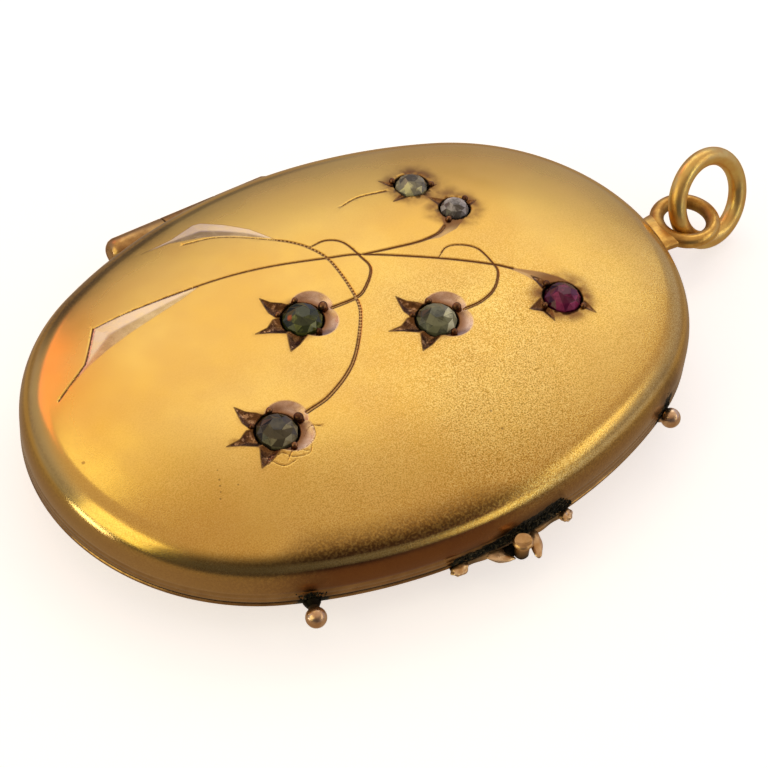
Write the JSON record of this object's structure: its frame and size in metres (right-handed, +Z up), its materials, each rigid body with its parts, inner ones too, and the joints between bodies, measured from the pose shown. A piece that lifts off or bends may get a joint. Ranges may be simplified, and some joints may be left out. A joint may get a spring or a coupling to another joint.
{
  "type": "locket pendant",
  "caption": "Oval gold locket with star-set rose-cut stones, side hinge, soldered eye and jump ring, lying closed on its back.",
  "frame": {"origin": "middle of the small flat on the back cover, on the surface that the locket lies on", "axes": "+X along the oval towards the eye and the jump ring, +Y across it towards the hinge, +Z up out of the front"},
  "size_m": [0.0437, 0.0288, 0.0065],
  "materials": {
    "front_gold": "satin with a polished edge",
    "back_gold": "polished, tarnished at the seam",
    "pin_gold": "plain",
    "ring_gold": "polished, worn",
    "stone_dark": "rose cut, dark grey-green",
    "stone_olive": "rose cut, olive",
    "stone_green": "rose cut, pale green-grey",
    "stone_grey": "rose cut, grey",
    "stone_clear": "rose cut, silvery",
    "stone_ruby": "rose cut, purple-red"
  },
  "bodies": {
    "case_back": {"back_cover": "back_gold", "hinge_pin": "pin_gold"},
    "case_front": {"front_cover": "front_gold", "star_stone_left": "stone_dark", "star_stone_middle": "stone_olive", "star_stone_right": "stone_green", "bud_stone_upper": "stone_grey", "bud_stone_lower": "stone_clear", "ruby": "stone_ruby"},
    "loose_ring": {"jump_ring": "ring_gold"}
  },
  "joints": [
    {"name": "cover_hinge", "type": "hinge", "parent": "case_back", "child": "case_front", "pos_m": [-0.0017, 0.0136, 0.00209], "axis": [-1, 0, 0], "range_deg": [0, 165]},
    {"name": "ring_swing", "type": "hinge", "parent": "case_back", "child": "loose_ring", "pos_m": [0.02283, 0, 0.00202], "axis": [-0.1183, 0.8963, -0.4274], "range_deg": [0, 130]}
  ]
}
